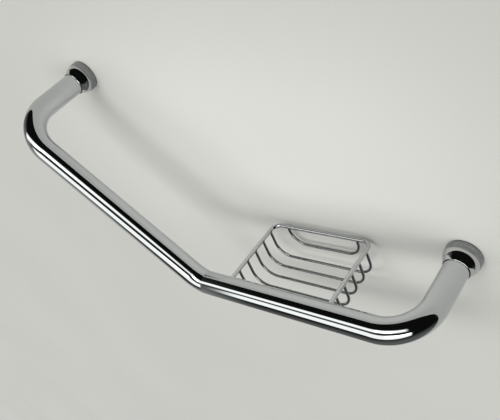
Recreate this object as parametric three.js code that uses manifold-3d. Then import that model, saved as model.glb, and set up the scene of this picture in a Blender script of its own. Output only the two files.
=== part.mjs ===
// Angled wall grab bar with a wire soap basket.
// Millimetres. The wall is the plane y = 0, +X runs right along it and +Z is up, so the bar
// stands off towards -Y. The origin is the axis of the left foot where it meets the wall.

import * as THREE from 'three';
import { mergeVertices } from 'three/addons/utils/BufferGeometryUtils.js';
import Module from 'manifold-3d';

const wasm = await Module();
wasm.setup();

// Bar
const TUBE_RADIUS = 12.5;
const TUBE_WALL = 1.5;
const BAR_REACH = 105;        // wall to the tube's centreline
const SLANT_RUN = 173.5;      // width that the slanted run covers
const SLANT_DROP = 191;       // height that it covers
const LEVEL_RUN = 252;        // length of the level run, corner to corner
const ELBOW_RADIUS = 40;      // centreline radius where the legs leave the wall
const KNEE_RADIUS = 28;       // centreline radius between the slanted and level runs
const TUBE_END = 19.4;        // wall to the open ends of the tube

// Feet, measured outwards from the wall
const GAP = 0.3;              // clearance between pieces that touch
const GASKET_THICK = 0.8;
const GASKET_RADIUS = 17.5;
const GASKET_HOLE_RADIUS = 5;
const COVER_RADIUS = 18;
const DOME_START = 5.8;       // where the cover's side starts to curve inwards
const DOME_RADIUS = 19.5;     // radius of that curve, seen in section
const DOME_TURN = 0.57;       // radians that it turns
const DOME_STEPS = 8;
const COVER_END = 20.6;       // its front face, where it collars the tube
const MOUTH_RADIUS = 13.45;   // outer radius just behind that face
const MOUTH_EDGE = 0.5;       // chamfer between the two
const POCKET_FLOOR = 8;       // depth of the recess behind the cover
const FLANGE_RADIUS = 15.2;
const FLANGE_THICK = 3.8;
const NECK_RADIUS = 12.5;
const NECK_CHAMFER = 0.5;
const SPIGOT_RADIUS = 7.2;
const SPIGOT_END = 40;
const SCREW_SEAT = 12;        // floor of the counterbore
const SEAT_RADIUS = 5;
const SCREW_HOLE_RADIUS = 2.9;

// Hardware
const WALL_SCREW_RADIUS = 2.4;
const WALL_SCREW_TIP = -38;
const WALL_SCREW_POINT = 6;   // length of its pointed end
const SCREW_HEAD_RADIUS = 4.3;
const SCREW_HEAD_HEIGHT = 3;
const SCREW_HEAD_CHAMFER = 1;
const SCREW_SOCKET_RADIUS = 2;
const WASHER_THICK = 0.8;
const WASHER_RADIUS = 4.6;
const PLUG_RADIUS = 4;
const PLUG_BORE = 2.8;
const PLUG_LENGTH = 40;
const PLUG_RIBS = 5;
const PLUG_RIB_PITCH = 5;
const PLUG_RIB_RISE = 0.6;    // how far a rib stands above the plug's body
const PLUG_NOSE = 3;          // plain length before the first rib
const PLUG_FLOOR = 1.2;       // thickness of its closed end
const BUSH_START = 20.4;
const BUSH_END = 38;
const BUSH_FIT = 0.5;         // clearance inside the tube's bore
const GRUB_AXIS = 29;         // wall to the grub screw's axis
const GRUB_RADIUS = 2.5;
const GRUB_SUNK = 0.2;        // how far its end lies under the tube's surface
const GRUB_SOCKET_RADIUS = 1.4;

// Basket
const BASKET_CENTRE = 269.4;  // X of its middle
const RAIL_SPACING = 124;     // centre to centre, at the height of the level run's centreline
const RAIL_RADIUS = 2.25;
const BACK_RAIL_OFF_WALL = 6.5;
const FRAME_CORNER = 10;
const WIRE_RADIUS = 1.5;
const RIB_COUNT = 5;
const RIB_PITCH = 15.4;
const FIRST_RIB_OFF_WALL = 18.2;
const RIB_SPACING = 122;      // between the two upright sides of one rib
const RIB_DEPTH = 35.3;       // rail centreline down to the rib's floor
const RIB_CORNER = 17.5;
const GUARD_WIDTH = 88;
const GUARD_DEPTH = 24.2;
const GUARD_CORNER = 18.5;

const BAR_BEND_STEPS = 12;
const WIRE_BEND_STEPS = 6;
const TUBE_SIDES = 32;
const BORE_SIDES = 20;
const LATHE_SIDES = 32;
const WIRE_SIDES = 12;
const SMALL_SIDES = 16;
const LEVEL_Z = -SLANT_DROP;
const RIGHT_X = SLANT_RUN + LEVEL_RUN;
const BORE_RADIUS = TUBE_RADIUS - TUBE_WALL;

const chrome = { color: 0xc9cccd, roughness: 0.08, metalness: 1 };
const brass = { color: 0xc2a05a, roughness: 0.3, metalness: 1 };
const steel = { color: 0xa9acae, roughness: 0.35, metalness: 1 };
const rubber = { color: 0x1d1f20, roughness: 0.85, metalness: 0 };
const nylon = { color: 0x8f9294, roughness: 0.6, metalness: 0 };

// A centreline of straight runs joined by round bends. Its parameter counts stations, so
// the straight runs take one step each and the steps are spent in the bends.
class BentPath extends THREE.Curve {
  constructor(corners, radii, bendSteps) {
    super();
    const first = corners[0];
    const last = corners[corners.length - 1];
    this.points = [first];
    this.tangents = [new THREE.Vector3().subVectors(corners[1], first).normalize()];
    for (let i = 1; i < corners.length - 1; i++) {
      this.addBend(corners[i - 1], corners[i], corners[i + 1], radii[i - 1], bendSteps);
    }
    this.points.push(last);
    this.tangents.push(this.tangents[this.tangents.length - 1].clone());
    this.steps = this.points.length - 1;
  }

  addBend(before, corner, after, radius, bendSteps) {
    const arriving = new THREE.Vector3().subVectors(corner, before).normalize();
    const leaving = new THREE.Vector3().subVectors(after, corner).normalize();
    const turn = arriving.angleTo(leaving);
    const inward = leaving.clone().addScaledVector(arriving, -Math.cos(turn)).normalize();
    const start = corner.clone().addScaledVector(arriving, -radius * Math.tan(turn / 2));
    for (let k = 0; k <= bendSteps; k++) {
      const angle = (turn * k) / bendSteps;
      const point = start.clone().addScaledVector(arriving, radius * Math.sin(angle));
      point.addScaledVector(inward, radius * (1 - Math.cos(angle)));
      const tangent = arriving.clone().multiplyScalar(Math.cos(angle));
      tangent.addScaledVector(inward, Math.sin(angle));
      this.points.push(point);
      this.tangents.push(tangent);
    }
  }

  blend(list, t, target) {
    const place = t * this.steps;
    const low = Math.min(Math.floor(place), this.steps - 1);
    return target.lerpVectors(list[low], list[low + 1], place - low);
  }

  getPoint(t, target = new THREE.Vector3()) {
    return this.blend(this.points, t, target);
  }

  getTangent(t, target = new THREE.Vector3()) {
    return this.blend(this.tangents, t, target).normalize();
  }

  getUtoTmapping(u) {
    return u;
  }
}

function circle(radius, sides) {
  const points = [];
  for (let k = 0; k < sides; k++) {
    const angle = (2 * Math.PI * k) / sides;
    points.push(new THREE.Vector2(radius * Math.cos(angle), radius * Math.sin(angle)));
  }
  return points;
}

function sweep(shape, path) {
  return new THREE.ExtrudeGeometry(shape, { steps: path.steps, extrudePath: path });
}

function wire(radius, corners, bendRadius) {
  const radii = new Array(corners.length - 2).fill(bendRadius);
  const path = new BentPath(corners, radii, WIRE_BEND_STEPS);
  return sweep(new THREE.Shape(circle(radius, WIRE_SIDES)), path);
}

// A turned piece from [radius, distance from the wall] pairs.
function turned(profile, sides = LATHE_SIDES) {
  return new THREE.LatheGeometry(profile.map(([r, s]) => new THREE.Vector2(r, s)), sides);
}

function washerShape(inner, outer, start, end, sides) {
  return turned([[inner, start], [outer, start], [outer, end], [inner, end], [inner, start]], sides);
}

// A rod that lies along Z.
function rodAlongZ(radius, length, sides = SMALL_SIDES) {
  const rod = new THREE.CylinderGeometry(radius, radius, length, sides);
  return rod.rotateX(Math.PI / 2);
}

function solidOf(geometry) {
  const bare = geometry.clone();
  bare.deleteAttribute('normal');
  bare.deleteAttribute('uv');
  const merged = mergeVertices(bare, 1e-4);
  const source = merged.index.array;
  const triVerts = [];
  for (let i = 0; i < source.length; i += 3) {
    const [a, b, c] = [source[i], source[i + 1], source[i + 2]];
    if (a !== b && b !== c && c !== a) {
      triVerts.push(a, b, c);
    }
  }
  return new wasm.Manifold(new wasm.Mesh({
    numProp: 3,
    vertProperties: new Float32Array(merged.attributes.position.array),
    triVerts: new Uint32Array(triVerts),
  }));
}

function cut(geometry, ...tools) {
  let solid = solidOf(geometry);
  for (const tool of tools) {
    solid = solid.subtract(solidOf(tool));
  }
  const mesh = solid.getMesh();
  const result = new THREE.BufferGeometry();
  result.setAttribute('position', new THREE.BufferAttribute(mesh.vertProperties, 3));
  result.setIndex(new THREE.BufferAttribute(mesh.triVerts, 1));
  result.computeVertexNormals();
  return result;
}

function piece(name, geometry, look) {
  const mesh = new THREE.Mesh(geometry, new THREE.MeshStandardMaterial(look));
  mesh.name = name;
  return mesh;
}

function barTube() {
  const corners = [
    new THREE.Vector3(0, -TUBE_END, 0),
    new THREE.Vector3(0, -BAR_REACH, 0),
    new THREE.Vector3(SLANT_RUN, -BAR_REACH, LEVEL_Z),
    new THREE.Vector3(RIGHT_X, -BAR_REACH, LEVEL_Z),
    new THREE.Vector3(RIGHT_X, -TUBE_END, LEVEL_Z),
  ];
  const section = new THREE.Shape(circle(TUBE_RADIUS, TUBE_SIDES));
  section.holes.push(new THREE.Path(circle(BORE_RADIUS, BORE_SIDES).reverse()));
  const radii = [ELBOW_RADIUS, KNEE_RADIUS, ELBOW_RADIUS];
  const path = new BentPath(corners, radii, BAR_BEND_STEPS);
  const left = rodAlongZ(GRUB_RADIUS + GAP, TUBE_RADIUS);
  left.translate(0, -GRUB_AXIS, -TUBE_RADIUS);
  const right = left.clone().translate(RIGHT_X, 0, LEVEL_Z);
  return cut(sweep(section, path), left, right);
}

function gasket() {
  return washerShape(GASKET_HOLE_RADIUS, GASKET_RADIUS, 0, GASKET_THICK);
}

// The boss is one turning: flange on the wall, neck as thick as the tube, hollow spigot.
function boss() {
  const back = GASKET_THICK + GAP;
  const flangeFront = back + FLANGE_THICK;
  const neckEnd = TUBE_END - GAP;
  return turned([
    [SCREW_HOLE_RADIUS, back],
    [FLANGE_RADIUS, back],
    [FLANGE_RADIUS, flangeFront],
    [NECK_RADIUS, flangeFront],
    [NECK_RADIUS, neckEnd - NECK_CHAMFER],
    [NECK_RADIUS - NECK_CHAMFER, neckEnd],
    [SPIGOT_RADIUS, neckEnd],
    [SPIGOT_RADIUS, SPIGOT_END],
    [SEAT_RADIUS, SPIGOT_END],
    [SEAT_RADIUS, SCREW_SEAT],
    [SCREW_HOLE_RADIUS, SCREW_SEAT],
    [SCREW_HOLE_RADIUS, back],
  ]);
}

// A domed cover that slides over the neck, hides the boss flange and collars the tube's end.
function coverRing() {
  const back = GASKET_THICK + GAP;
  const pocket = FLANGE_RADIUS + GAP;
  const bore = TUBE_RADIUS + GAP;
  const dome = [];
  for (let k = 0; k <= DOME_STEPS; k++) {
    const angle = (DOME_TURN * k) / DOME_STEPS;
    const r = COVER_RADIUS - DOME_RADIUS * (1 - Math.cos(angle));
    dome.push([r, DOME_START + DOME_RADIUS * Math.sin(angle)]);
  }
  return turned([
    [pocket, back],
    [COVER_RADIUS, back],
    ...dome,
    [MOUTH_RADIUS, COVER_END - MOUTH_EDGE],
    [MOUTH_RADIUS - MOUTH_EDGE, COVER_END],
    [bore, COVER_END],
    [bore, POCKET_FLOOR],
    [pocket, POCKET_FLOOR],
    [pocket, back],
  ]);
}

function endBush() {
  const outer = BORE_RADIUS - BUSH_FIT;
  const sleeve = washerShape(SPIGOT_RADIUS + GAP, outer, BUSH_START, BUSH_END);
  const hole = rodAlongZ(GRUB_RADIUS + GAP, TUBE_RADIUS);
  hole.translate(0, GRUB_AXIS, -TUBE_RADIUS);
  return cut(sleeve, hole);
}

function grubScrew() {
  const low = SPIGOT_RADIUS + GAP;
  const length = TUBE_RADIUS - GRUB_SUNK - low;
  const socket = rodAlongZ(GRUB_SOCKET_RADIUS, length, 6).translate(0, 0, -length / 2);
  const screw = cut(rodAlongZ(GRUB_RADIUS, length), socket);
  return screw.translate(0, GRUB_AXIS, -(low + length / 2));
}

function washer() {
  const seat = SCREW_SEAT + GAP;
  return washerShape(SCREW_HOLE_RADIUS, WASHER_RADIUS, seat, seat + WASHER_THICK, SMALL_SIDES);
}

function wallScrew() {
  const underHead = SCREW_SEAT + WASHER_THICK + 2 * GAP;
  const top = underHead + SCREW_HEAD_HEIGHT;
  const body = turned([
    [0, WALL_SCREW_TIP],
    [WALL_SCREW_RADIUS, WALL_SCREW_TIP + WALL_SCREW_POINT],
    [WALL_SCREW_RADIUS, underHead],
    [SCREW_HEAD_RADIUS, underHead],
    [SCREW_HEAD_RADIUS, top - SCREW_HEAD_CHAMFER],
    [SCREW_HEAD_RADIUS - SCREW_HEAD_CHAMFER, top],
    [0, top],
  ], SMALL_SIDES);
  const socket = new THREE.CylinderGeometry(
    SCREW_SOCKET_RADIUS, SCREW_SOCKET_RADIUS, SCREW_HEAD_HEIGHT, 6);
  return cut(body, socket.translate(0, top, 0));
}

// A nylon plug behind the wall face, barbed outside and bored for the screw.
function wallPlug() {
  const mouth = -GAP;
  const body = PLUG_RADIUS - PLUG_RIB_RISE;
  const profile = [
    [PLUG_BORE, mouth],
    [PLUG_BORE, -PLUG_LENGTH + PLUG_FLOOR],
    [0, -PLUG_LENGTH + PLUG_FLOOR],
    [0, -PLUG_LENGTH],
    [body, -PLUG_LENGTH],
  ];
  for (let k = 0; k < PLUG_RIBS; k++) {
    const start = -PLUG_LENGTH + PLUG_NOSE + k * PLUG_RIB_PITCH;
    profile.push([body, start], [PLUG_RADIUS, start + PLUG_RIB_PITCH * 0.7]);
  }
  profile.push([PLUG_RADIUS, mouth], [PLUG_BORE, mouth]);
  return turned(profile, SMALL_SIDES);
}

// Everything of one foot, with the wall at local y = 0 and outwards along local +Y.
function foot(side) {
  const group = new THREE.Group();
  group.rotation.z = Math.PI;
  group.add(
    piece(`${side}_gasket`, gasket(), rubber),
    piece(`${side}_boss`, boss(), chrome),
    piece(`${side}_cover_ring`, coverRing(), chrome),
    piece(`${side}_end_bush`, endBush(), brass),
    piece(`${side}_grub_screw`, grubScrew(), steel),
    piece(`${side}_washer`, washer(), steel),
    piece(`${side}_wall_screw`, wallScrew(), steel),
    piece(`${side}_wall_plug`, wallPlug(), nylon),
  );
  return group;
}

// Both rails and the back rail are one wire; its two ends are coped to the bar.
function basketFrame() {
  const half = RAIL_SPACING / 2;
  const back = -BACK_RAIL_OFF_WALL;
  const corners = [
    new THREE.Vector3(-half, -BAR_REACH, 0),
    new THREE.Vector3(-half, back, 0),
    new THREE.Vector3(half, back, 0),
    new THREE.Vector3(half, -BAR_REACH, 0),
  ];
  const reach = TUBE_RADIUS + GAP;
  const width = RAIL_SPACING + TUBE_RADIUS * 2;
  const bar = new THREE.CylinderGeometry(reach, reach, width, TUBE_SIDES);
  bar.rotateZ(Math.PI / 2);
  bar.translate(0, -BAR_REACH, 0);
  const past = new THREE.BoxGeometry(width, TUBE_RADIUS * 2, TUBE_RADIUS * 2);
  past.translate(0, -BAR_REACH - TUBE_RADIUS, 0);
  return cut(wire(RAIL_RADIUS, corners, FRAME_CORNER), bar, past);
}

function hoop(width, depth, cornerRadius) {
  const top = -RAIL_RADIUS - GAP;
  const corners = [
    new THREE.Vector3(-width / 2, 0, top),
    new THREE.Vector3(-width / 2, 0, -depth),
    new THREE.Vector3(width / 2, 0, -depth),
    new THREE.Vector3(width / 2, 0, top),
  ];
  return wire(WIRE_RADIUS, corners, cornerRadius);
}

function basket() {
  const group = new THREE.Group();
  group.position.set(BASKET_CENTRE, 0, LEVEL_Z);
  group.add(piece('basket_frame', basketFrame(), chrome));
  for (let k = 0; k < RIB_COUNT; k++) {
    const rib = piece(`basket_rib_${k + 1}`, hoop(RIB_SPACING, RIB_DEPTH, RIB_CORNER), chrome);
    rib.position.y = -FIRST_RIB_OFF_WALL - k * RIB_PITCH;
    group.add(rib);
  }
  const guard = piece('basket_back_guard', hoop(GUARD_WIDTH, GUARD_DEPTH, GUARD_CORNER), chrome);
  guard.position.y = -BACK_RAIL_OFF_WALL;
  group.add(guard);
  return group;
}

function grabBar() {
  const group = new THREE.Group();
  const left = foot('left');
  const right = foot('right');
  right.position.set(RIGHT_X, 0, LEVEL_Z);
  group.add(piece('bar_tube', barTube(), chrome), left, right, basket());
  return group;
}

export default grabBar();
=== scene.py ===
import math

import bmesh
import bpy
from mathutils import Matrix, Vector


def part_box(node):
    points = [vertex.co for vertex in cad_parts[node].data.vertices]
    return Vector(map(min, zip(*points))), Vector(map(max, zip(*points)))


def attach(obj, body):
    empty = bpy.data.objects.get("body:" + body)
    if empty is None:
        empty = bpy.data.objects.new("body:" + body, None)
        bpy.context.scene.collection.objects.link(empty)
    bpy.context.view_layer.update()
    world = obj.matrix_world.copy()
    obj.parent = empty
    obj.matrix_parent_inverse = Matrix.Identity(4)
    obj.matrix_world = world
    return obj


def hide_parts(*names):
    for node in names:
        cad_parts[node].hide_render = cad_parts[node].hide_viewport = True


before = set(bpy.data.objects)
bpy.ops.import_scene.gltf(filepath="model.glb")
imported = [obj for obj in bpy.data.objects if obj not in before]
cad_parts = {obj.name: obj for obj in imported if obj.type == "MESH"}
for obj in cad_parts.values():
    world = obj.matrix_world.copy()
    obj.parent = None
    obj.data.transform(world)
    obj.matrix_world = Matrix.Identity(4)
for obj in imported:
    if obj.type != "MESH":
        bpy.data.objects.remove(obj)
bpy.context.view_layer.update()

# Lengths are in metres. The wall is the plane y = 0, the bar stands off towards -Y and Z is up.
# The left foot is at the origin. Places on the feet's round pieces are given as a radius and a
# distance out from the wall.
MM = 0.001
BODY = "root"
SIDES = ("left", "right")
X_AXIS = Vector((1, 0, 0))
Y_AXIS = Vector((0, 1, 0))
Z_AXIS = Vector((0, 0, 1))
CLEARANCE = 0.3 * MM          # between pieces that fit into or round each other


def evenly(start, end, steps):
    """The ends of an interval and the even steps between them."""
    return [start + (end - start) * k / steps for k in range(steps + 1)]


def ring_angles(sides):
    return [2 * math.pi * k / sides for k in range(sides)]


def clamp(value, low=0.0, high=1.0):
    return min(high, max(low, value))


# ---------------------------------------------------------------- camera

CAMERA_PLACE = Vector((0.66242, -0.3942, 0.24975))
CAMERA_RIGHT = Vector((0.7530, 0.5549, -0.3538))
CAMERA_UP = Vector((-0.1309, 0.6531, 0.7460))
CAMERA_LENS = 47.69           # millimetres, as is the sensor
CAMERA_SENSOR = 36


def make_camera():
    data = bpy.data.cameras.new("camera")
    data.lens = CAMERA_LENS
    data.sensor_width = CAMERA_SENSOR
    camera = bpy.data.objects.new("camera", data)
    back = CAMERA_RIGHT.cross(CAMERA_UP).normalized()
    right = CAMERA_RIGHT.normalized()
    turn = Matrix((right, back.cross(right), back)).transposed()
    camera.matrix_world = Matrix.Translation(CAMERA_PLACE) @ turn.to_4x4()
    bpy.context.scene.collection.objects.link(camera)
    bpy.context.scene.camera = camera


# ---------------------------------------------------------------- node graphs

NOISE_LOW = 0.3               # a noise texture seldom leaves this range
NOISE_HIGH = 0.7


class Graph:
    """A shader node tree with short calls for the nodes that this scene uses."""

    def __init__(self, owner):
        owner.use_nodes = True
        self.tree = owner.node_tree
        self.tree.nodes.clear()

    def node(self, kind, **settings):
        made = self.tree.nodes.new(kind)
        for name, value in settings.items():
            setattr(made, name, value)
        return made

    def feed(self, socket, value):
        if isinstance(value, bpy.types.NodeSocket):
            self.tree.links.new(value, socket)
        else:
            socket.default_value = value

    def coordinates(self, kind):
        return self.node("ShaderNodeTexCoord").outputs[kind]

    def split(self, vector):
        made = self.node("ShaderNodeSeparateXYZ")
        self.feed(made.inputs[0], vector)
        return made.outputs

    def math(self, operation, first, second):
        made = self.node("ShaderNodeMath", operation=operation)
        self.feed(made.inputs[0], first)
        self.feed(made.inputs[1], second)
        return made.outputs[0]

    def vector_math(self, operation, first, second=(0, 0, 0)):
        made = self.node("ShaderNodeVectorMath", operation=operation)
        self.feed(made.inputs[0], first)
        self.feed(made.inputs[1], second)
        return made.outputs

    def product(self, first, *others):
        for other in others:
            first = self.math("MULTIPLY", first, other)
        return first

    def total(self, first, *others):
        for other in others:
            first = self.math("ADD", first, other)
        return first

    def negative(self, value):
        return self.math("MULTIPLY", value, -1.0)

    def remap(self, value, low, high, to_low, to_high, smooth=False):
        kind = "SMOOTHSTEP" if smooth else "LINEAR"
        made = self.node("ShaderNodeMapRange", interpolation_type=kind)
        for index, number in enumerate((value, low, high, to_low, to_high)):
            self.feed(made.inputs[index], number)
        return made.outputs[0]

    def spread(self, noise, low, high):
        """Brings a noise's usual range to low and high."""
        return self.remap(noise, NOISE_LOW, NOISE_HIGH, low, high)

    def rise(self, value, edge, soft):
        """0 below the edge and 1 above it, blurred over soft on both sides."""
        return self.remap(value, edge - soft, edge + soft, 0.0, 1.0, smooth=True)

    def between(self, value, low, high, soft):
        above_low = self.rise(value, low, soft)
        above_high = self.rise(value, high, soft)
        return self.math("SUBTRACT", above_low, above_high)

    def noise(self, scale, stretch=(1, 1, 1), detail=3.0, roughness=0.5):
        """Noise over the object's own coordinates; scale counts features per metre."""
        mapping = self.node("ShaderNodeMapping")
        self.feed(mapping.inputs["Vector"], self.coordinates("Object"))
        self.feed(mapping.inputs["Scale"], stretch)
        made = self.node("ShaderNodeTexNoise")
        self.feed(made.inputs["Vector"], mapping.outputs[0])
        self.feed(made.inputs["Scale"], scale)
        self.feed(made.inputs["Detail"], detail)
        self.feed(made.inputs["Roughness"], roughness)
        return made.outputs[0]

    def blend(self, share, first, second):
        """A colour that goes from the first to the second as share goes from 0 to 1."""
        made = self.node("ShaderNodeMix", data_type="RGBA")
        self.feed(made.inputs["Factor"], share)
        self.feed(made.inputs["A"], (*first, 1))
        self.feed(made.inputs["B"], (*second, 1))
        return made.outputs["Result"]

    def bump(self, height, distance, strength):
        made = self.node("ShaderNodeBump")
        self.feed(made.inputs["Height"], height)
        self.feed(made.inputs["Distance"], distance)
        self.feed(made.inputs["Strength"], strength)
        return made.outputs[0]

    def background(self, colour, strength):
        made = self.node("ShaderNodeBackground")
        self.feed(made.inputs["Color"], (*colour, 1))
        self.feed(made.inputs["Strength"], strength)
        return made.outputs[0]

    def choose(self, share, first, second):
        """The first shader where share is 0 and the second where it is 1."""
        made = self.node("ShaderNodeMixShader")
        for index, value in enumerate((share, first, second)):
            self.feed(made.inputs[index], value)
        return made.outputs[0]

    def show(self, shader, kind="ShaderNodeOutputMaterial"):
        self.feed(self.node(kind).inputs["Surface"], shader)


# ---------------------------------------------------------------- materials

SHADED_SATIN_END = 9.6 * MM          # how far from the wall the covers' satin band, darkened with painted shade, reaches
SHADED_SATIN_SOFT = 0.9 * MM         # half the width of its blurred edge


def surface(name, metallic):
    """A new material, its node graph and its Principled node."""
    material = bpy.data.materials.new(name)
    graph = Graph(material)
    shader = graph.node("ShaderNodeBsdfPrincipled")
    graph.feed(shader.inputs["Metallic"], metallic)
    return material, graph, shader


def dress(graph, shader, colour, roughness, normal):
    """Feeds a Principled node and returns its output."""
    graph.feed(shader.inputs["Base Color"], colour)
    graph.feed(shader.inputs["Roughness"], roughness)
    graph.feed(shader.inputs["Normal"], normal)
    return shader.outputs[0]


def polished_chrome(name, dark, bright):
    """Bright plate: nearly a mirror, with faint haze and the last marks of the buffing wheel."""
    material, graph, shader = surface(name, metallic=1.0)
    haze = graph.noise(70, detail=4)
    buffing = graph.noise(500, stretch=(1, 7, 1), detail=5, roughness=0.65)
    colour = graph.blend(haze, dark, bright)
    marks = graph.remap(buffing, low=0.35, high=0.75, to_low=0.0, to_high=0.03)
    roughness = graph.total(graph.spread(haze, 0.03, 0.06), marks)
    relief = graph.bump(buffing, distance=0.004 * MM, strength=0.5)
    graph.show(dress(graph, shader, colour, roughness, relief))
    return material


def cover_chrome():
    """Chrome of the feet's covers: a satin band next to the wall, then a polished dome. The band's
    colour is darkened as painted shade, for the shadowed wall near the foot that it mirrors.
    """
    material, graph, shader = surface("cover_chrome", metallic=1.0)
    haze = graph.noise(90, detail=4)
    brushing = graph.noise(110, stretch=(1, 8, 1), detail=6, roughness=0.75)
    out_from_wall = graph.negative(graph.split(graph.coordinates("Object"))["Y"])
    polished = graph.rise(out_from_wall, SHADED_SATIN_END, SHADED_SATIN_SOFT)
    satin_and_shade = graph.math("SUBTRACT", 1.0, polished)
    # painted shade: the satin band's colour is darkened, more so along its brushing streaks
    streaks = graph.remap(brushing, low=0.35, high=0.65, to_low=1.0, to_high=0.45)
    painted_shade = graph.product(satin_and_shade, streaks)
    # plain chrome, and the dark painted shade of the satin band
    colour = graph.blend(painted_shade, (0.55, 0.565, 0.565), (0.17, 0.18, 0.185))
    fine = graph.spread(haze, 0.03, 0.07)
    matt = graph.product(graph.spread(brushing, 0.22, 0.42), satin_and_shade)
    polished_relief = 0.02
    height = graph.product(brushing, graph.total(satin_and_shade, polished_relief))
    relief = graph.bump(height, distance=0.09 * MM, strength=0.8)
    graph.show(dress(graph, shader, colour, graph.total(fine, matt), relief))
    return material


def patchy(name, metallic, patches, grain, tones, roughness, relief, strength):
    """A material whose tone and roughness follow soft patches, with a fine grain in relief.

    patches and grain are the settings of two noises; tones and roughness give both extremes.
    """
    material, graph, shader = surface(name, metallic)
    patch = graph.noise(**patches)
    colour = graph.blend(patch, *tones)
    normal = graph.bump(graph.noise(**grain), relief, strength)
    graph.show(dress(graph, shader, colour, graph.spread(patch, *roughness), normal))
    return material


def turned_brass():
    """Bare brass off the lathe: fine rings round its axis and a little tarnish."""
    return patchy(
        "turned_brass", metallic=1.0,
        patches={"scale": 180, "detail": 5, "roughness": 0.6},
        grain={"scale": 30, "stretch": (1, 160, 1), "detail": 2},
        tones=((0.62, 0.42, 0.16), (0.45, 0.29, 0.11)),
        roughness=(0.22, 0.42), relief=0.03 * MM, strength=0.6)


def zinc_steel():
    """Zinc-plated screws: bluish and yellowish patches over a slightly grainy plate."""
    return patchy(
        "zinc_steel", metallic=1.0,
        patches={"scale": 220, "detail": 4},
        grain={"scale": 2600, "detail": 3},
        tones=((0.50, 0.53, 0.58), (0.63, 0.60, 0.50)),
        roughness=(0.26, 0.45), relief=0.02 * MM, strength=0.5)


def black_rubber():
    """Matt black rubber with a little dust."""
    return patchy(
        "black_rubber", metallic=0.0,
        patches={"scale": 300, "detail": 6, "roughness": 0.7},
        grain={"scale": 3500, "detail": 2},
        tones=((0.012, 0.013, 0.014), (0.035, 0.036, 0.037)),
        roughness=(0.62, 0.88), relief=0.04 * MM, strength=0.6)


def moulded_nylon():
    """Grey nylon with a cloudy, finely eroded skin."""
    return patchy(
        "moulded_nylon", metallic=0.0,
        patches={"scale": 160, "detail": 4},
        grain={"scale": 2200, "detail": 3},
        tones=((0.24, 0.25, 0.26), (0.32, 0.33, 0.335)),
        roughness=(0.42, 0.58), relief=0.03 * MM, strength=0.5)


PAINTED_LIGHT_SPOT = (0.21, 0.0, -0.09)  # painted light: the wall's colour is palest here, standing in for a pool of light
PAINTED_LIGHT_FLATTENING = (1.0, 1.0, 1.8)  # heights count for more, so the painted pool of light is wider than high
PAINTED_LIGHT_CORE = 0.08              # the painted light fades between these distances from the spot
PAINTED_LIGHT_END = 0.42


def wall_paint():
    """Matt warm grey paint that is clear from behind, so views from the back show the object. Its
    colour holds a painted pool of light: palest at one spot and darker away from it.
    """
    material, graph, shader = surface("wall_paint", metallic=0.0)
    graph.feed(shader.inputs["Specular IOR Level"], 0.2)
    roller = graph.noise(900, detail=3)
    tone = graph.noise(3, detail=2)
    offset = graph.vector_math("SUBTRACT", graph.coordinates("Object"), PAINTED_LIGHT_SPOT)
    flattened = graph.vector_math("MULTIPLY", offset["Vector"], PAINTED_LIGHT_FLATTENING)
    away = graph.vector_math("LENGTH", flattened["Vector"])["Value"]
    # painted light: the colour darkens away from the spot, as a pool of light falling off
    shade = graph.remap(away, PAINTED_LIGHT_CORE, PAINTED_LIGHT_END, to_low=0.0, to_high=0.85, smooth=True)
    share = graph.total(shade, graph.spread(tone, 0.0, 0.15))
    # the lit and the dimmer ends of the painted pool of light
    colour = graph.blend(share, (0.780, 0.775, 0.745), (0.618, 0.618, 0.593))
    relief = graph.bump(roller, distance=0.05 * MM, strength=0.3)
    paint = dress(graph, shader, colour, 0.85, relief)
    clear = graph.node("ShaderNodeBsdfTransparent").outputs[0]
    behind = graph.node("ShaderNodeNewGeometry").outputs["Backfacing"]
    graph.show(graph.choose(behind, paint, clear))
    return material


# ---------------------------------------------------------------- mesh tools

ROUND_STEP = 10.0             # degrees between points on a rounded edge
ROUND_HOLD = 0.04 * MM        # a flat gets a point this far past the end of a rounding
SHARP = 30.0                  # degrees from which an edge is shaded as sharp


def join_rings(bm, first, second):
    """Faces between two rings of corners; a ring of one corner is a pole."""
    count = max(len(first), len(second))
    for k in range(count):
        corners = [
            first[k % len(first)],
            first[(k + 1) % len(first)],
            second[(k + 1) % len(second)],
            second[k % len(second)],
        ]
        bm.faces.new(dict.fromkeys(corners))


def skin(bm, rings, closed=False):
    for first, second in zip(rings, rings[1:]):
        join_rings(bm, first, second)
    if closed:
        join_rings(bm, rings[-1], rings[0])


def cap(bm, ring, peak=Vector()):
    """Closes a ring with a fan of faces; peak moves the fan's middle to make a cone."""
    middle = sum((corner.co for corner in ring), Vector()) / len(ring)
    join_rings(bm, ring, [bm.verts.new(middle + peak)])


def fillet(outline):
    """A closed outline of (radius, out, rounding) points, with each corner rounded.

    A point just past each end of a rounding keeps the flat beside it flat in the shading.
    """
    points = [Vector((radius, out)) for radius, out, _ in outline]
    rounded = []
    for k, (*_, rounding) in enumerate(outline):
        corner = points[k]
        if rounding == 0:
            rounded.append(tuple(corner))
            continue
        back = (points[k - 1] - corner).normalized()
        on = (points[(k + 1) % len(points)] - corner).normalized()
        half = back.angle(on) / 2
        reach = rounding / math.tan(half)
        centre = corner + (back + on).normalized() * (rounding / math.sin(half))
        start = corner + back * reach - centre
        end = corner + on * reach - centre
        turn = math.pi - 2 * half
        steps = max(2, math.ceil(math.degrees(turn) / ROUND_STEP))
        rounded.append(tuple(corner + back * (reach + ROUND_HOLD)))
        for angle in evenly(0, turn, steps):
            share_start = math.sin(turn - angle) / math.sin(turn)
            share_end = math.sin(angle) / math.sin(turn)
            rounded.append(tuple(centre + start * share_start + end * share_end))
        rounded.append(tuple(corner + on * (reach + ROUND_HOLD)))
    return rounded


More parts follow.
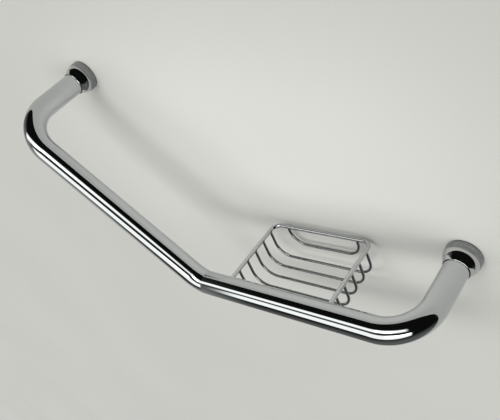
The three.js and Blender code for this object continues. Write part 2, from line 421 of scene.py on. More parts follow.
class Axis:
    """The line that a round piece is made about. Angles round it start at +X."""

    def __init__(self, origin, outwards):
        self.origin = origin
        self.outwards = outwards
        self.beside = outwards.cross(X_AXIS)

    def point(self, angle, radius, out):
        across = X_AXIS * math.cos(angle) + self.beside * math.sin(angle)
        return self.origin + self.outwards * out + across * radius


def axis_ring(bm, axis, out, radii):
    """A ring of corners round an axis, one to each radius."""
    angles = ring_angles(len(radii))
    return [bm.verts.new(axis.point(angle, radius, out)) for angle, radius in zip(angles, radii)]


def turned_rings(bm, outline, axis, sides):
    """Round rings from an outline of (radius, out) points."""
    return [axis_ring(bm, axis, out, [radius] * sides) for radius, out in outline]


def shaped_rings(bm, radius_at, stations, axis, sides):
    """Rings whose radius depends on the angle and on the distance out."""
    angles = ring_angles(sides)
    return [
        axis_ring(bm, axis, out, [radius_at(angle, out) for angle in angles]) for out in stations
    ]


def add_piece(name, bm, material, node, sharp_degrees=SHARP):
    """Makes an object of the mesh, on the object's one body, in place of its CAD node."""
    bmesh.ops.recalc_face_normals(bm, faces=bm.faces)
    for face in bm.faces:
        face.smooth = True
    for edge in bm.edges:
        if len(edge.link_faces) == 2 and edge.calc_face_angle() > math.radians(sharp_degrees):
            edge.smooth = False
    mesh = bpy.data.meshes.new(name)
    bm.to_mesh(mesh)
    bm.free()
    mesh.materials.append(material)
    piece = bpy.data.objects.new(name, mesh)
    bpy.context.scene.collection.objects.link(piece)
    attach(piece, BODY)
    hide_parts(node)
    return piece


# ---------------------------------------------------------------- centrelines


class Station:
    """One section of a swept piece: where it is, its frame, and the plane that cuts it."""

    def __init__(self, place, tangent):
        self.place = place
        self.tangent = tangent
        self.plane = tangent
        self.across = None
        self.beside = None

    def carry(self, across):
        """Takes over the previous section's direction, square to this tangent."""
        self.across = (across - self.tangent * across.dot(self.tangent)).normalized()
        self.beside = self.tangent.cross(self.across)

    def spin(self, angle):
        turn = Matrix.Rotation(angle, 3, self.tangent)
        self.across = turn @ self.across
        self.beside = turn @ self.beside

    def offset(self, angle):
        return self.across * math.cos(angle) + self.beside * math.sin(angle)

    def point(self, angle, radius):
        """On the round surface, slid along the tangent into the cutting plane."""
        out = self.offset(angle) * radius
        slide = -out.dot(self.plane) / self.tangent.dot(self.plane)
        return self.place + out + self.tangent * slide


def bend(before, corner, after, radius, step_degrees, made_share=1.0):
    """Stations round one corner. A made_share under 1 stops the arc early, and a mitre
    makes the rest of the turn at once.
    """
    arriving = (corner - before).normalized()
    leaving = (after - corner).normalized()
    full = arriving.angle(leaving)
    turn = full * made_share
    inward = (leaving - arriving * math.cos(full)).normalized()
    past = radius * (1 - math.cos(turn)) / math.sin(full)
    start = corner - arriving * (radius * math.sin(turn) - past * math.cos(full))
    stations = []
    for angle in evenly(0, turn, math.ceil(math.degrees(turn) / step_degrees)):
        place = start + arriving * radius * math.sin(angle)
        place += inward * radius * (1 - math.cos(angle))
        stations.append(Station(place, arriving * math.cos(angle) + inward * math.sin(angle)))
    if made_share < 1:
        mitred = stations[-1]
        mitred.plane = (mitred.tangent + leaving).normalized()
    return stations


def carry_frames(stations, across):
    for station in stations:
        station.carry(across)
        across = station.across


def ring_at(bm, station, radius, sides):
    return [bm.verts.new(station.point(angle, radius)) for angle in ring_angles(sides)]


# ---------------------------------------------------------------- the bar

bar_low, bar_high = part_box("bar_tube")
TUBE_RADIUS = -bar_low.x
TUBE_WALL = 1.5 * MM
TUBE_BORE = TUBE_RADIUS - TUBE_WALL
LEVEL_Z = bar_low.z + TUBE_RADIUS  # height of the level run's centreline
BAR_Y = -105 * MM             # where the centreline of both runs is
RIGHT_X = bar_high.x - TUBE_RADIUS
TUBE_END = bar_high.y
KNEE_X = 173.5 * MM           # where the slanted run meets the level one
ELBOW_RADIUS = 40 * MM
KNEE_RADIUS = 32 * MM
KNEE_MADE_SHARE = 0.82        # how much of the knee's turn is bent; a mitre line makes the rest
TUBE_SIDES = 96
TUBE_LIP = 0.3 * MM           # how far the tube's rounded end stands past its last section
LIP_STEPS = 6
BEND_STEP = 1.5               # degrees between sections in the bar's bends
HOLE_CELLS = 6                # tube cells from the middle of a grub hole to its patch's edge
HOLE_SHARES = (0.35, 0.7, 1.0)  # rings on the way from the patch's edge to the hole's rim

FEET = {
    "left": Vector((0, 0, 0)),
    "right": Vector((RIGHT_X, 0, LEVEL_Z)),
}


def grub_hole(side):
    """The middle of a grub screw and the radius of the hole that clears it."""
    low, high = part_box(f"{side}_grub_screw")
    return (low + high) / 2, (high.x - low.x) / 2 + CLEARANCE


def leg_stations(side, outwards):
    """Sections of a leg from its open end, dense where the grub screw's hole is."""
    foot = FEET[side]
    cell = 2 * math.pi * TUBE_RADIUS / TUBE_SIDES
    hole = grub_hole(side)[0].y
    places = [hole - cell * k for k in range(-HOLE_CELLS, HOLE_CELLS + 1)]
    places.insert(0, TUBE_END - TUBE_LIP)
    tangent = -Y_AXIS if outwards else Y_AXIS
    stations = [Station(Vector((foot.x, y, foot.z)), tangent) for y in places]
    return stations if outwards else stations[::-1]


def bar_stations():
    """All sections of the bar, and which of them is the mitre at the knee."""
    corners = [
        Vector((0, TUBE_END, 0)),
        Vector((0, BAR_Y, 0)),
        Vector((KNEE_X, BAR_Y, LEVEL_Z)),
        Vector((RIGHT_X, BAR_Y, LEVEL_Z)),
        Vector((RIGHT_X, TUBE_END, LEVEL_Z)),
    ]
    left_elbow = bend(*corners[0:3], ELBOW_RADIUS, BEND_STEP)
    knee = bend(*corners[1:4], KNEE_RADIUS, BEND_STEP, KNEE_MADE_SHARE)
    mitre = knee[-1]
    after_mitre = Station(mitre.place + X_AXIS * TUBE_RADIUS, X_AXIS)
    right_elbow = bend(*corners[2:5], ELBOW_RADIUS, BEND_STEP)
    left_leg = leg_stations("left", True)
    right_leg = leg_stations("right", False)
    stations = left_leg + left_elbow + knee + [after_mitre] + right_elbow + right_leg
    carry_frames(stations, X_AXIS)
    line_up(stations, len(left_leg) + len(left_elbow))
    return stations, stations.index(mitre)


def line_up(stations, first):
    """Turns every section from the knee on, by under one cell, so that a line of corners runs
    straight along the underside of the right leg, where its hole is.
    """
    last = stations[-1]
    angle = math.atan2(-last.beside.z, -last.across.z)
    cell = 2 * math.pi / TUBE_SIDES
    miss = angle - cell * round(angle / cell)
    for station in stations[first:]:
        station.spin(miss)


def lip_sections(bm, station, direction):
    """The rounded end of the tube, from its outer surface to its bore. direction is 1 where
    the end is ahead of the station and -1 where it is behind.
    """
    middle = TUBE_RADIUS - TUBE_WALL / 2
    sections = []
    for angle in evenly(0, math.pi, LIP_STEPS)[1:-1]:
        radius = middle + TUBE_WALL / 2 * math.cos(angle)
        shift = direction * TUBE_LIP * math.sin(angle)
        place = Station(station.place + station.tangent * shift, station.tangent)
        place.carry(station.across)
        sections.append(ring_at(bm, place, radius, TUBE_SIDES))
    return sections


def patch_loop(rings, first, middle):
    """The corners round the square of cells that a hole's patch replaces, and those inside."""
    rows = range(first, first + 2 * HOLE_CELLS + 1)
    columns = [(middle + k) % TUBE_SIDES for k in range(-HOLE_CELLS, HOLE_CELLS + 1)]
    loop = [rings[rows[0]][c] for c in columns]
    loop += [rings[r][columns[-1]] for r in rows[1:]]
    loop += [rings[rows[-1]][c] for c in columns[-2::-1]]
    loop += [rings[r][columns[0]] for r in rows[-2:0:-1]]
    inside = {rings[r][c] for r in rows[1:-1] for c in columns[1:-1]}
    return loop, inside


def drill(bm, rings, side, first, radius):
    """Opens a round hole through one surface of the tube's leg and returns its rim."""
    centre, hole = grub_hole(side)
    lowest = min(range(TUBE_SIDES), key=lambda k: rings[first][k].co.z)
    loop, inside = patch_loop(rings, first, lowest)
    bmesh.ops.delete(bm, geom=list(inside), context="VERTS")
    rounds = [loop]
    for share in HOLE_SHARES:
        ring = []
        for corner in loop:
            flat = Vector((corner.co.x - centre.x, corner.co.y - centre.y))
            spot = flat.lerp(flat.normalized() * hole, share)
            down = math.sqrt(radius**2 - spot.x**2)
            place = (centre.x + spot.x, centre.y + spot.y, FEET[side].z - down)
            ring.append(bm.verts.new(place))
        rounds.append(ring)
    skin(bm, rounds)
    return rounds[-1]


def crease(bm, ring):
    """Keeps the edges of a ring crisp although their angle is small."""
    for first, second in zip(ring, ring[1:] + ring[:1]):
        bm.edges.get((first, second)).smooth = False


def make_bar(chrome):
    """The bent tube, with its bore, its rounded ends and the two holes for the grub screws."""
    stations, mitre = bar_stations()
    bm = bmesh.new()
    outer = [ring_at(bm, station, TUBE_RADIUS, TUBE_SIDES) for station in stations]
    inner = [ring_at(bm, station, TUBE_BORE, TUBE_SIDES) for station in stations]
    far_lip = lip_sections(bm, stations[-1], 1)
    near_lip = lip_sections(bm, stations[0], -1)
    skin(bm, outer + far_lip + inner[::-1] + near_lip[::-1], closed=True)
    # The first row of each hole's patch; one section lies between the patch and the tube's end.
    patch_rows = {"left": 1, "right": len(stations) - 2 * HOLE_CELLS - 2}
    for side, row in patch_rows.items():
        outer_rim = drill(bm, outer, side, row, TUBE_RADIUS)
        join_rings(bm, outer_rim, drill(bm, inner, side, row, TUBE_BORE))
    crease(bm, outer[mitre])
    crease(bm, inner[mitre])
    add_piece("grab_bar_tube", bm, chrome, "bar_tube")


# ---------------------------------------------------------------- the feet

TURNED_SIDES = 96
COVER_SIDES = 128
WASHER_SIDES = 64
FLANGE_THICK = 3.8 * MM       # of the boss's flange on the wall
DOME_START = 5.8 * MM         # where the cover's side starts to curve inwards
DOME_RADIUS = 19.5 * MM       # radius of that curve, seen in section
DOME_TURN = 0.57              # radians that it turns
DOME_STEPS = 24
MOUTH_RADIUS = 13.26 * MM     # where the collar's gentle slope reaches the front face
MOUTH_EDGE = 0.65 * MM        # radius of that edge
POCKET_FLOOR = 8 * MM         # how far out the cover's hollow for the flange reaches
NECK_END = -TUBE_END - CLEARANCE
SPIGOT_RADIUS = 7.2 * MM      # of the part of the boss that is inside the tube
SEAT = 12 * MM                # how far out the seat of the wall screw's washer is
SEAT_RADIUS = 5 * MM
SCREW_HOLE = 2.9 * MM         # radius of the holes that the wall screw passes through
GASKET_HOLE = 5 * MM
GASKET_EDGE = 0.25 * MM
CUTTER_SIDES = 48


def extent(node):
    """(largest radius, start, end) of a round piece on a foot. Start and end are distances out
    from the wall, and below 0 inside it.
    """
    low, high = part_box(node)
    return (high.x - low.x) / 2, -high.y, -low.y


def foot_axis(side):
    return Axis(FEET[side], -Y_AXIS)


def boss_outline(side):
    """The foot's body: a flange on the wall, a neck, and a spigot with the screw's seat in it."""
    flange, back, end = extent(f"{side}_boss")
    front = back + FLANGE_THICK
    return [
        (SCREW_HOLE, back, 0.3 * MM),
        (flange, back, 0.4 * MM),
        (flange, front, 0.6 * MM),
        (TUBE_RADIUS, front, 0.3 * MM),
        (TUBE_RADIUS, NECK_END, 0.5 * MM),
        (SPIGOT_RADIUS, NECK_END, 0.3 * MM),
        (SPIGOT_RADIUS, end, 0.6 * MM),
        (SEAT_RADIUS, end, 0.4 * MM),
        (SEAT_RADIUS, SEAT, 0.2 * MM),
        (SCREW_HOLE, SEAT, 0.2 * MM),
    ]


def cover_outline(side):
    """The domed cover in section: its side, the dome and the sloped collar round the tube."""
    radius, back, front = extent(f"{side}_cover_ring")
    pocket = extent(f"{side}_boss")[0] + CLEARANCE
    bore = TUBE_RADIUS + CLEARANCE
    dome = [
        (radius - DOME_RADIUS * (1 - math.cos(angle)), DOME_START + DOME_RADIUS * math.sin(angle), 0)
        for angle in evenly(0, DOME_TURN, DOME_STEPS)
    ]
    return [
        (pocket, back, 0.2 * MM),
        (radius, back, 0.3 * MM),
        *dome,
        (MOUTH_RADIUS, front, MOUTH_EDGE),
        (bore, front, 0.02 * MM),
        (bore, POCKET_FLOOR, 0.2 * MM),
        (pocket, POCKET_FLOOR, 0.2 * MM),
    ]


def gasket_outline(side):
    radius, back, front = extent(f"{side}_gasket")
    corners = ((GASKET_HOLE, back), (radius, back), (radius, front), (GASKET_HOLE, front))
    return [(*corner, GASKET_EDGE) for corner in corners]


def washer_outline(side):
    """A stamped washer, rounder on the front of its rim."""
    radius, back, front = extent(f"{side}_washer")
    return [
        (SCREW_HOLE, back, 0.1 * MM),
        (radius, back, 0.15 * MM),
        (radius, front, 0.3 * MM),
        (SCREW_HOLE, front, 0.15 * MM),
    ]


def bush_outline(side):
    radius, back, front = extent(f"{side}_end_bush")
    inner = SPIGOT_RADIUS + CLEARANCE
    return [
        (inner, back, 0.3 * MM),
        (radius, back, 0.5 * MM),
        (radius, front, 0.5 * MM),
        (inner, front, 0.3 * MM),
    ]


def make_turned(side, name, node, outline, material, sides=TURNED_SIDES):
    """A piece turned about its foot's axis, from a closed outline with roundings."""
    bm = bmesh.new()
    skin(bm, turned_rings(bm, fillet(outline), foot_axis(side), sides), closed=True)
    return add_piece(f"{side}_{name}", bm, material, f"{side}_{node}")


def drill_bush(piece, side):
    """Cuts the grub screw's upright hole through the underside of a bush."""
    bm = bmesh.new()
    centre, hole = grub_hole(side)
    bmesh.ops.create_cone(
        bm, cap_ends=True, segments=CUTTER_SIDES, radius1=hole, radius2=hole, depth=TUBE_RADIUS,
        matrix=Matrix.Translation(centre))
    cutter_mesh = bpy.data.meshes.new("bush_cutter")
    bm.to_mesh(cutter_mesh)
    bm.free()
    cutter = bpy.data.objects.new("bush_cutter", cutter_mesh)
    bpy.context.scene.collection.objects.link(cutter)
    drilled = piece.modifiers.new("drilled", "BOOLEAN")
    drilled.operation = "DIFFERENCE"
    drilled.solver = "EXACT"
    drilled.object = cutter
    bpy.context.view_layer.update()
    depsgraph = bpy.context.evaluated_depsgraph_get()
    final = bpy.data.meshes.new_from_object(piece.evaluated_get(depsgraph))
    piece.modifiers.clear()
    piece.data = final
    bpy.data.objects.remove(cutter)


def make_bush(side, brass):
    """A brass sleeve with a drilled hole for the grub screw's tip."""
    bush = make_turned(side, "brass_bush", "end_bush", bush_outline(side), brass)
    drill_bush(bush, side)


# ---------------------------------------------------------------- screws and plugs

SCREW_SIDES = 36
HEAD_HEIGHT = 3 * MM
HEAD_BEVEL = 0.3 * MM         # under the edge of the head
HEAD_DOME = 1.6 * MM          # how far in from its edge the head's rounding reaches
HEAD_FLATTENING = 0.8         # height of that rounding as a share of its width
HEAD_STEPS = 8
SHANK_RADIUS = 2.4 * MM
SHANK_LENGTH = 6 * MM         # plain length under the head
THREAD_PITCH = 2.4 * MM
THREAD_DEPTH = 0.55 * MM
THREAD_ROWS = 10              # rows of corners to each turn of the thread
CREST_HALF_WIDTH = 0.28       # from the middle of a crest to the root, in turns
CREST_STEEPNESS = 1.4         # over 1, which leaves a flat land on the crest
TIP_LENGTH = 6 * MM
TIP_SHARE = 0.04              # of the full radius, at the very tip
HEX_ACROSS = 4 * MM           # between the flats of the socket
SOCKET_DEPTH = 2 * MM
SOCKET_LIP = 0.02 * MM        # how far the socket's rim is below the face round it
SOCKET_CONE = 0.5 * MM        # how much deeper the middle of its floor is

GRUB_PITCH = 0.8 * MM
GRUB_THREAD_DEPTH = 0.35 * MM
GRUB_ROWS = 8                 # rows of corners to each turn
GRUB_BEVEL = 0.4 * MM
GRUB_HEX_ACROSS = 2.5 * MM
GRUB_SOCKET_DEPTH = 2 * MM
GRUB_SOCKET_CONE = 0.4 * MM

PLUG_SIDES = 64
PLUG_ROWS = 150
PLUG_COLLAR = 6 * MM          # plain length at the wall's surface
PLUG_SKIN = 0.25 * MM         # how far the collar's surface is inside the fins' edges
BARB_LENGTH = 4.6 * MM
BARB_DEPTH = 0.9 * MM
GROOVE_FLATTENING = 0.5 * MM  # how much the barbed length is flattened beside its grooves
NOSE_LENGTH = 4 * MM
NOSE_SHARE = 0.72             # of the full radius, at the nose
STRIP_COSINE = 0.985          # of the angle from the middle of a fin or groove to its edge
FIN_REACH = 9 * MM            # how far past the collar the fins run
FIN_SETBACK = 1.5 * MM        # from the plug's open end to the fins
GROOVE_START = 1.2 * MM       # from the nose to the grooves
GROOVE_END = 9 * MM           # from the plug's open end to them
GROOVE_RADIUS = 2.95 * MM     # of the bottom of a groove
PLUG_BORE = 2.7 * MM
PLUG_BORE_CONE = 1.7 * MM     # the bore's pointed end, which clears the screw's tip


def thread_height(turns):
    """0 at the root to 1 at the crest, over one turn of a coarse wood thread."""
    from_crest = abs(turns % 1.0 - 0.5)
    return clamp((1 - from_crest / CREST_HALF_WIDTH) * CREST_STEEPNESS)


def hexagon_radius(angle, across):
    """From the middle of a hexagon to its edge; across is the width between its flats."""
    sector = (angle + math.pi / 6) % (math.pi / 3) - math.pi / 6
    return across / 2 / math.cos(sector)


def hex_socket(bm, ring, axis, across, rim, floor, cone):
    """Joins a round rim to a six-sided recess that reaches along the axis from rim to floor,
    with a coned end.
    """
    radii = [hexagon_radius(angle, across) for angle in ring_angles(len(ring))]
    levels = [axis_ring(bm, axis, out, radii) for out in (rim, floor)]
    skin(bm, [ring] + levels)
    cap(bm, levels[-1], axis.outwards * math.copysign(cone, floor - rim))


def head_outline(head_radius, under_head, top):
    """A pan head, from under its edge to the rim of its socket."""
    head = [(head_radius - HEAD_BEVEL, under_head), (head_radius, under_head + HEAD_BEVEL)]
    height = HEAD_DOME * HEAD_FLATTENING
    for angle in evenly(0, math.pi / 2, HEAD_STEPS):
        radius = head_radius - HEAD_DOME * (1 - math.cos(angle))
        head.append((radius, top - height * (1 - math.sin(angle))))
    return head


def make_wall_screw(side, steel):
    """A pan-headed screw with a real helical thread and a hexagon socket."""
    head_radius, tip, top = extent(f"{side}_wall_screw")
    under_head = top - HEAD_HEIGHT
    thread_end = under_head - SHANK_LENGTH

    def radius_at(angle, out):
        turns = out / THREAD_PITCH - angle / (2 * math.pi)
        point = clamp((out - tip) / TIP_LENGTH, TIP_SHARE)
        fade = clamp((thread_end - out) / THREAD_PITCH)
        cut_depth = THREAD_DEPTH * (1 - thread_height(turns)) * fade
        return (SHANK_RADIUS - cut_depth) * point

    axis = foot_axis(side)
    rows = math.ceil((under_head - tip) / THREAD_PITCH * THREAD_ROWS)
    bm = bmesh.new()
    rings = shaped_rings(bm, radius_at, evenly(tip, under_head, rows), axis, SCREW_SIDES)
    rings += turned_rings(bm, head_outline(head_radius, under_head, top), axis, SCREW_SIDES)
    skin(bm, rings)
    cap(bm, rings[0])
    rim = top - SOCKET_LIP
    hex_socket(bm, rings[-1], axis, HEX_ACROSS, rim, rim - SOCKET_DEPTH, SOCKET_CONE)
    add_piece(f"{side}_wall_screw_threaded", bm, steel, f"{side}_wall_screw")


def make_grub_screw(side, steel):
    """A set screw up through the underside of the tube, with a hexagon socket and thread."""
    low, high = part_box(f"{side}_grub_screw")
    middle = (low + high) / 2
    radius = (high.x - low.x) / 2
    length = high.z - low.z

    def radius_at(angle, up):
        turns = up / GRUB_PITCH - angle / (2 * math.pi)
        valley = abs(turns % 1.0 * 2 - 1)
        bevel = max(0.0, GRUB_BEVEL - min(up, length - up))
        return radius - GRUB_THREAD_DEPTH * valley - bevel

    axis = Axis(Vector((middle.x, middle.y, low.z)), Z_AXIS)
    rows = math.ceil(length / GRUB_PITCH * GRUB_ROWS)
    bm = bmesh.new()
    rings = shaped_rings(bm, radius_at, evenly(0, length, rows), axis, SCREW_SIDES)
    skin(bm, rings)
    cap(bm, rings[-1])
    hex_socket(bm, rings[0], axis, GRUB_HEX_ACROSS, 0, GRUB_SOCKET_DEPTH, GRUB_SOCKET_CONE)
    add_piece(f"{side}_set_screw", bm, steel, f"{side}_grub_screw")


def make_wall_plug(side, nylon):
    """A barbed plug with a deep groove down both sides, so that the screw can split it."""
    radius, nose, end = extent(f"{side}_wall_plug")
    collar = end - PLUG_COLLAR

    def radius_at(angle, out):
        here = radius - PLUG_SKIN
        if out < collar:
            share = ((out - nose) / BARB_LENGTH) % 1.0
            here = radius - BARB_DEPTH + BARB_DEPTH * share
            here -= GROOVE_FLATTENING * max(0.0, math.cos(2 * angle)) ** 3
        here *= NOSE_SHARE + (1 - NOSE_SHARE) * min(1.0, (out - nose) / NOSE_LENGTH)
        in_fin = collar - FIN_REACH < out < end - FIN_SETBACK
        if in_fin and abs(math.sin(angle)) > STRIP_COSINE:
            here = radius
        in_groove = nose + GROOVE_START < out < end - GROOVE_END
        if in_groove and abs(math.cos(angle)) > STRIP_COSINE:
            here = GROOVE_RADIUS
        return here

    axis = foot_axis(side)
    bore = [(PLUG_BORE, end), (PLUG_BORE, nose + PLUG_BORE)]
    bm = bmesh.new()
    rings = shaped_rings(bm, radius_at, evenly(nose, end, PLUG_ROWS), axis, PLUG_SIDES)
    rings += turned_rings(bm, bore, axis, PLUG_SIDES)
    skin(bm, rings)
    cap(bm, rings[-1], -axis.outwards * PLUG_BORE_CONE)
    cap(bm, rings[0])
    add_piece(f"{side}_nylon_plug", bm, nylon, f"{side}_wall_plug")


def make_foot(side, chrome, cover, brass, steel, rubber, nylon):
    """One foot, with all that holds it to the wall and to the tube."""
    make_turned(side, "wall_boss", "boss", boss_outline(side), chrome)
    make_turned(side, "rosette", "cover_ring", cover_outline(side), cover, COVER_SIDES)
    make_turned(side, "rubber_seal", "gasket", gasket_outline(side), rubber)
    make_turned(
        side, "plain_washer", "washer", washer_outline(side), steel, WASHER_SIDES)
    make_bush(side, brass)
    make_wall_screw(side, steel)
    make_grub_screw(side, steel)
    make_wall_plug(side, nylon)


# ---------------------------------------------------------------- the basket

frame_low, frame_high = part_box("basket_frame")
RAIL_RADIUS = (frame_high.z - frame_low.z) / 2
RAIL_Z = (frame_high.z + frame_low.z) / 2
BASKET_X = (frame_high.x + frame_low.x) / 2
RAIL_OFFSET = (frame_high.x - frame_low.x) / 2 - RAIL_RADIUS
BACK_Y = frame_high.y - RAIL_RADIUS
FRAME_CORNER = 10 * MM
RIB_CORNER = 17.5 * MM
GUARD_CORNER = 18.5 * MM
WIRE_SIDES = 40
WIRE_STEP = 4.5               # degrees between sections in a wire's bends
WIRE_SHARP = 50               # degrees from which a wire's edge is shaded as sharp
RAIL_BRAZE = 0.9 * MM         # size of the braze fillet where a rail meets the bar
WIRE_BRAZE = 0.6 * MM         # and where a wire meets a rail
BRAZE_STEPS = 7


class Rod:
    """An endless round surface that a wire is fitted to."""

    def __init__(self, place, along, radius):
        self.place = place
        self.along = along
        self.radius = radius

    def distance(self, start, heading):
        """How far from start the surface is, along heading."""
        away = start - self.place
        away -= self.along * away.dot(self.along)
        flat = heading - self.along * heading.dot(self.along)
        a = flat.dot(flat)
        b = 2 * away.dot(flat)
        c = away.dot(away) - self.radius**2
        return (-b - math.sqrt(max(0.0, b * b - 4 * a * c))) / (2 * a)


def braze_end(bm, station, heading, rod, wire_radius, braze):
    """Rings that fit a wire's end to a rod and flare it into a braze fillet."""
    rings = []
    for flare in evenly(0, math.pi / 2, BRAZE_STEPS):
        height = braze * (1 - math.sin(flare))
        radius = wire_radius + braze * (1 - math.cos(flare))
        ring = []
        for angle in ring_angles(WIRE_SIDES):
            start = station.place + station.offset(angle) * radius
            reach = rod.distance(start, heading) - height
            ring.append(bm.verts.new(start + heading * reach))
        rings.append(ring)
    return rings


def make_wire(name, node, corners, corner_radius, radius, ends, braze, chrome):
    """A bent wire whose two ends are brazed to the rods in ends."""
    first_heading = (corners[1] - corners[0]).normalized()
    last_heading = (corners[-1] - corners[-2]).normalized()
    stations = []
    for before, corner, after in zip(corners, corners[1:], corners[2:]):
        stations += bend(before, corner, after, corner_radius, WIRE_STEP)
    carry_frames(stations, first_heading.orthogonal().normalized())
    bm = bmesh.new()
    body = [ring_at(bm, station, radius, WIRE_SIDES) for station in stations]
    head = braze_end(bm, stations[0], -first_heading, ends[0], radius, braze)
    tail = braze_end(bm, stations[-1], last_heading, ends[1], radius, braze)
    rings = head[::-1] + body + tail
    skin(bm, rings)
    cap(bm, rings[0])
    cap(bm, rings[-1])
    add_piece(name, bm, chrome, node, WIRE_SHARP)


def make_basket_frame(chrome):
    """A thick wire from the bar to the wall side, along it and back to the bar."""
    bar = Rod(Vector((0, BAR_Y, LEVEL_Z)), X_AXIS, TUBE_RADIUS)
    left = BASKET_X - RAIL_OFFSET
    right = BASKET_X + RAIL_OFFSET
    at_bar = BAR_Y + TUBE_RADIUS
    corners = [
        Vector((left, at_bar, RAIL_Z)),
        Vector((left, BACK_Y, RAIL_Z)),
        Vector((right, BACK_Y, RAIL_Z)),
        Vector((right, at_bar, RAIL_Z)),
    ]
    make_wire("basket_rails", "basket_frame", corners, FRAME_CORNER, RAIL_RADIUS,
              (bar, bar), RAIL_BRAZE, chrome)


def make_hoop(name, node, corner_radius, rods, chrome):
    """A wire that hangs from its two ends: down, across and up again."""
    low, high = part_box(node)
    radius = (high.y - low.y) / 2
    y = (low.y + high.y) / 2
    left = low.x + radius
    right = high.x - radius
    floor = low.z + radius
    corners = [
        Vector((left, y, RAIL_Z)),
        Vector((left, y, floor)),
        Vector((right, y, floor)),
        Vector((right, y, RAIL_Z)),
    ]
    make_wire(name, node, corners, corner_radius, radius, rods, WIRE_BRAZE, chrome)


def make_basket(chrome, shaded_wire_chrome):
    """The rails, the hoops that hang from them, and the guard below the back rail. The hoops and the
    guard get a darker copy of the chrome as painted shade.
    """
    make_basket_frame(chrome)
    side_rails = [
        Rod(Vector((BASKET_X + offset, 0, RAIL_Z)), Y_AXIS, RAIL_RADIUS)
        for offset in (-RAIL_OFFSET, RAIL_OFFSET)
    ]
    ribs = sorted(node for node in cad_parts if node.startswith("basket_rib_"))
    for number, node in enumerate(ribs, 1):
        make_hoop(f"basket_hoop_{number}", node, RIB_CORNER, side_rails, shaded_wire_chrome)
    back_rail = Rod(Vector((0, BACK_Y, RAIL_Z)), X_AXIS, RAIL_RADIUS)
    make_hoop(
        "back_guard_hoop", "basket_back_guard", GUARD_CORNER, (back_rail, back_rail), shaded_wire_chrome)


# ---------------------------------------------------------------- stage and light

WALL_REACH = 4.0
PANEL_LEFT = -0.9             # these four bound the part of the wall that the chrome mirrors
PANEL_RIGHT = 0.95
PANEL_LOW = -1.2
PANEL_HIGH = 0.6
LIGHT_TINT = (1.0, 1.0, 0.985)
BACKDROP = (0.62, 0.62, 0.59)  # what the camera sees where there is no wall
DARK_ROOM = 0.006             # light from everywhere else
WINDOW_TILT = 0.12            # how far the window's edges climb to the left, per unit
LEAST_AHEAD = 0.02            # keeps right and up finite for light that comes along the wall
BACK_LIGHT_PLACE = Vector((-0.2, 1.1, 0.6))  # behind the wall
BACK_LIGHT_SIZE = 1.2
BACK_LIGHT_WATTS = 9


def make_wall():
    """The pale wall. The chrome mirrors only the panel round the bar, as if the room were dark
    beyond it; the surround is the same wall for everything else.
    """
    paint = wall_paint()
    edges_x = (-WALL_REACH, PANEL_LEFT, PANEL_RIGHT, WALL_REACH)
    edges_z = (-WALL_REACH, PANEL_LOW, PANEL_HIGH, WALL_REACH)
    for name, is_panel in (("wall_panel", True), ("wall_surround", False)):
        bm = bmesh.new()
        for column in range(3):
            for row in range(3):
                if (column == row == 1) != is_panel:
                    continue
                x0, x1 = edges_x[column:column + 2]
                z0, z1 = edges_z[row:row + 2]
                corners = ((x0, 0, z0), (x1, 0, z0), (x1, 0, z1), (x0, 0, z1))
                bm.faces.new([bm.verts.new(corner) for corner in corners])
        mesh = bpy.data.meshes.new(name)
        bm.to_mesh(mesh)
        bm.free()
        mesh.materials.append(paint)
        wall = bpy.data.objects.new(name, mesh)
        bpy.context.scene.collection.objects.link(wall)
        wall.visible_glossy = is_panel


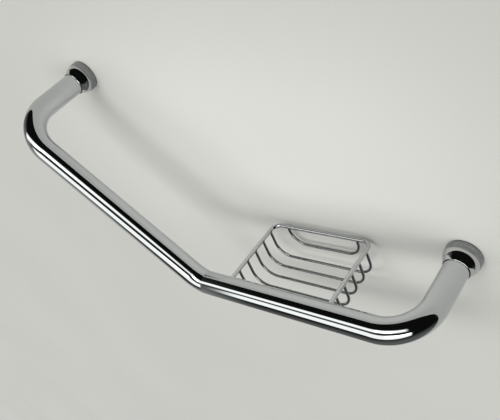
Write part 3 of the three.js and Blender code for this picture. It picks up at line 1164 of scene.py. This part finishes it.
def room_light(graph):
    """Soft light from two big panels in front of the wall: a low window and a strip above it.
    Each has a brighter core, and the room is dim to the left and below.

    A panel is given by how far right and up it lies at one unit in front of the wall.
    """
    x, y, z = graph.split(graph.coordinates("Generated"))
    ahead = graph.math("MAXIMUM", graph.negative(y), LEAST_AHEAD)
    right = graph.math("DIVIDE", x, ahead)
    up = graph.math("DIVIDE", z, ahead)
    facing = graph.rise(ahead, edge=0.06, soft=0.03)
    tilted_up = graph.total(up, graph.product(right, WINDOW_TILT))

    def panel(strength, left_to_right, height, low_to_high):
        """Each range is (from, to, blur)."""
        columns = graph.between(right, *left_to_right)
        return graph.product(columns, graph.between(height, *low_to_high), facing, strength)

    window = panel(1.65, (-0.87, 1.05, 0.05), tilted_up, (-0.36, 0.20, 0.05))
    window_core = panel(5.0, (0.10, 1.05, 0.10), tilted_up, (-0.02, 0.20, 0.04))
    strip = panel(1.8, (-1.75, 0.88, 0.16), up, (0.57, 1.13, 0.13))
    strip_core = panel(7.5, (-0.35, 0.30, 0.10), up, (0.66, 0.95, 0.05))
    left_room = graph.product(
        graph.rise(graph.negative(x), edge=0.68, soft=0.08),
        graph.remap(z, low=-0.35, high=0.75, to_low=0.45, to_high=0.02))
    floor = graph.product(
        graph.rise(graph.negative(z), edge=0.4, soft=0.05),
        graph.remap(z, low=-0.85, high=-0.45, to_low=0.15, to_high=0.03))
    return graph.total(window, strip, window_core, strip_core, left_room, floor, DARK_ROOM)


def make_studio():
    """The room's light, with a plain backdrop where the camera sees past the wall."""
    world = bpy.data.worlds.new("studio")
    bpy.context.scene.world = world
    graph = Graph(world)
    studio = graph.background(LIGHT_TINT, room_light(graph))
    backdrop = graph.background(BACKDROP, 1.0)
    seen_directly = graph.node("ShaderNodeLightPath").outputs["Is Camera Ray"]
    graph.show(graph.choose(seen_directly, studio, backdrop), "ShaderNodeOutputWorld")
    bpy.context.scene.view_settings.view_transform = "Standard"


def make_back_light():
    """A soft light behind the wall, for what the wall hides; it leaves no mirror image."""
    data = bpy.data.lights.new("back_light", "AREA")
    data.size = BACK_LIGHT_SIZE
    data.energy = BACK_LIGHT_WATTS
    light = bpy.data.objects.new("back_light", data)
    light.location = BACK_LIGHT_PLACE
    towards_bar = Vector((BASKET_X, 0, LEVEL_Z)) - light.location
    light.rotation_euler = towards_bar.to_track_quat("-Z", "Y").to_euler()
    light.visible_camera = False
    light.visible_glossy = False
    bpy.context.scene.collection.objects.link(light)


# ---------------------------------------------------------------- the scene

make_camera()
chrome = polished_chrome("polished_chrome", (0.525, 0.55, 0.553), (0.565, 0.588, 0.59))
# painted shade: a darker copy of the chrome for the hoops and guard, standing in for the dark room
# that they mirror
shaded_wire_chrome = polished_chrome("shaded_wire_chrome", (0.25, 0.262, 0.265), (0.29, 0.302, 0.305))
cover = cover_chrome()
brass = turned_brass()
steel = zinc_steel()
rubber = black_rubber()
nylon = moulded_nylon()
make_bar(chrome)
for side in SIDES:
    make_foot(side, chrome, cover, brass, steel, rubber, nylon)
make_basket(chrome, shaded_wire_chrome)
make_wall()
make_studio()
make_back_light()
